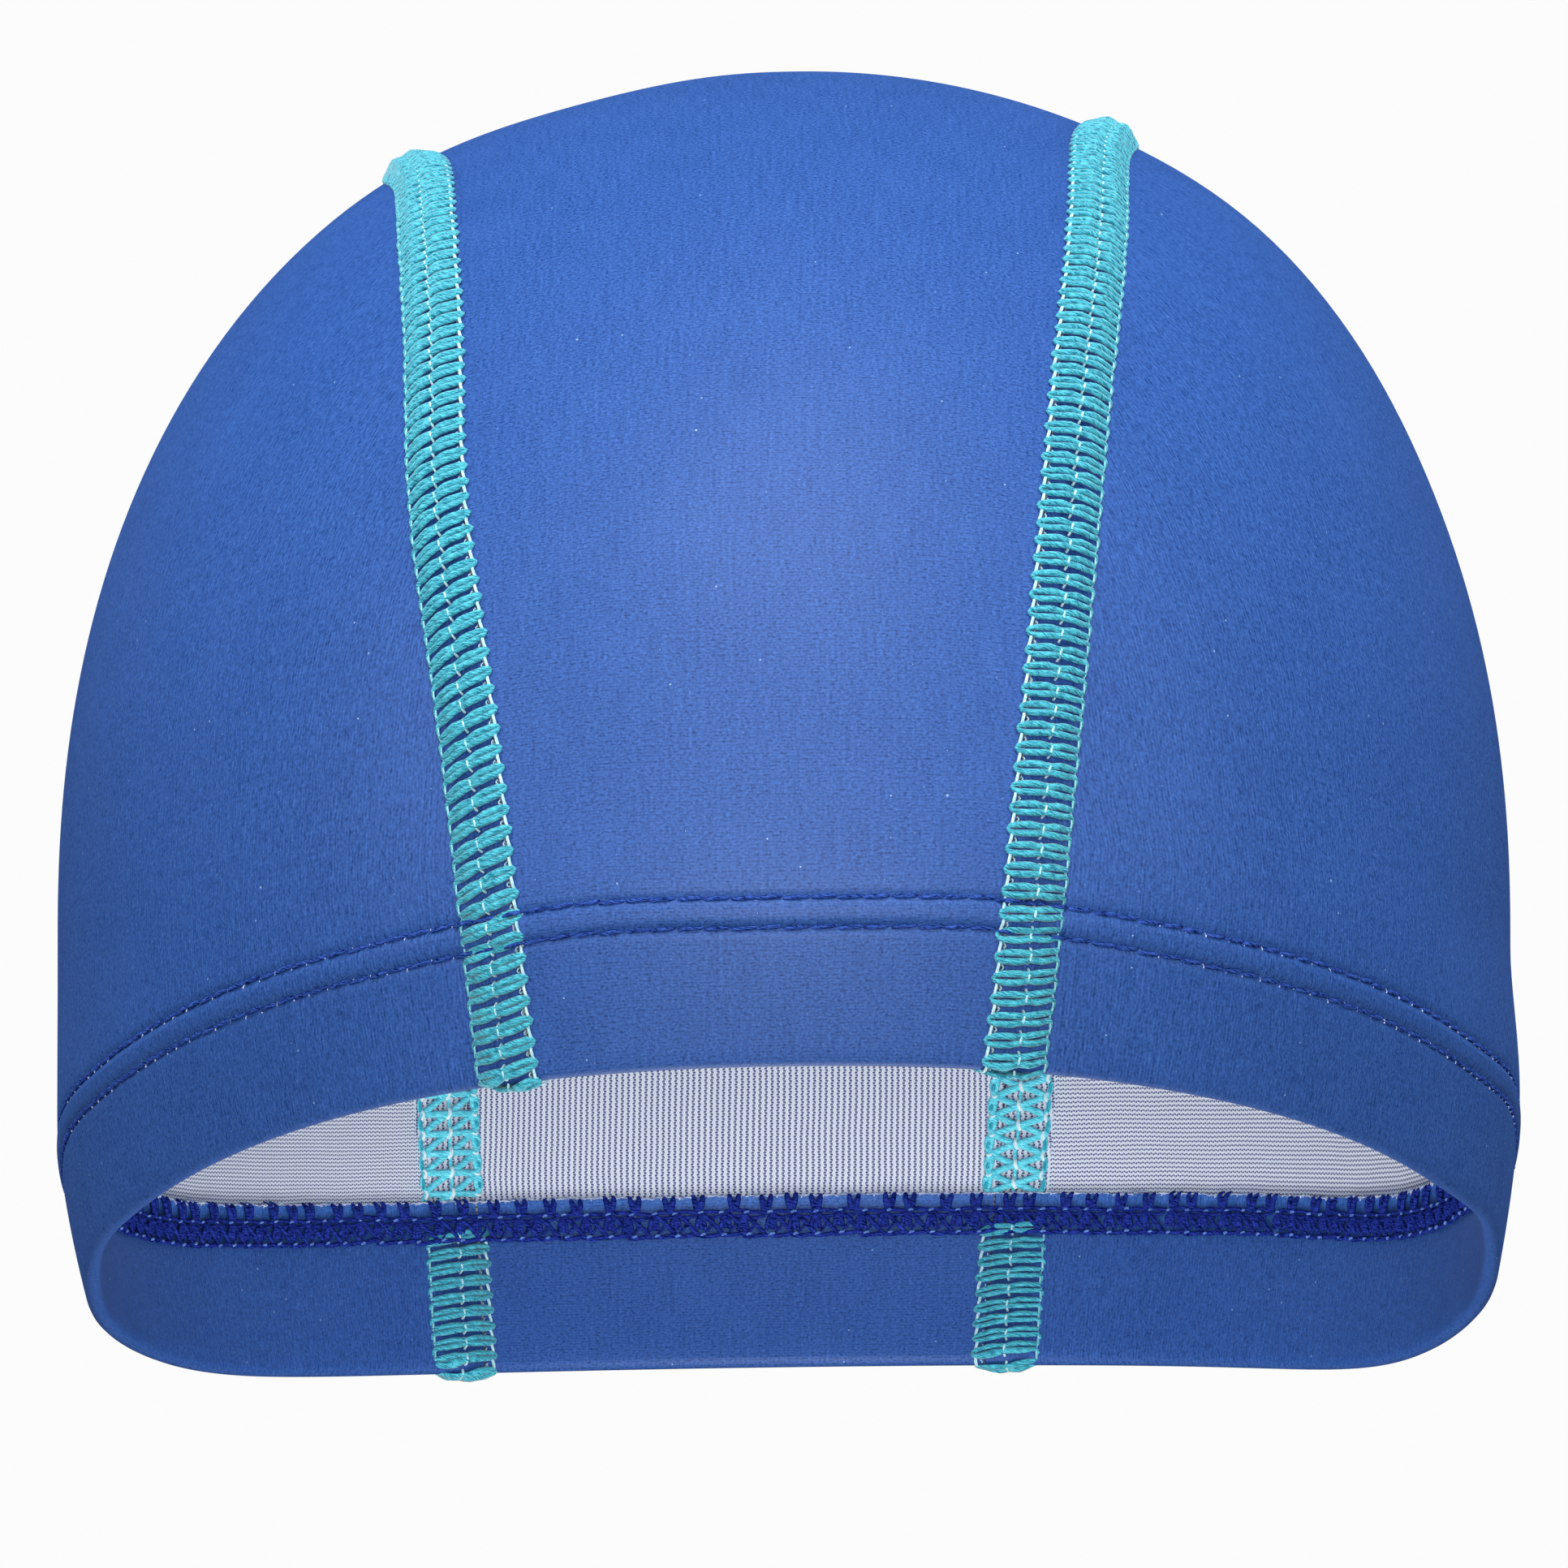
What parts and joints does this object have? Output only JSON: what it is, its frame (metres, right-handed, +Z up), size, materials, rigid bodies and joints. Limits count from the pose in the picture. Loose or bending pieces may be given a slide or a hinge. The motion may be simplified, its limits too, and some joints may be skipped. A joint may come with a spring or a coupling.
{
  "type": "swim cap",
  "caption": "Adult swimming cap of coated stretch cloth in panels joined by flat contrast seams, with a turned-up hem, shaped as it sits on a head.",
  "frame": {"origin": "middle of the head opening, level with the rim at the brow, where a head enters the cap and holds it", "axes": "+Z up through the crown, -Y towards the brow, +X to the right as seen from the front; the head enters from below along +Z"},
  "size_m": [0.1622, 0.1939, 0.1488],
  "materials": {
    "coated_cloth": "satin",
    "seam_thread": "matte",
    "cover_stitch_thread": "matte"
  },
  "bodies": {
    "root": {"centre_panel": "coated_cloth", "side_panel_left": "coated_cloth", "side_panel_right": "coated_cloth", "seam_left": "seam_thread", "seam_right": "seam_thread", "hem_cover_stitch": "cover_stitch_thread"}
  },
  "joints": []
}
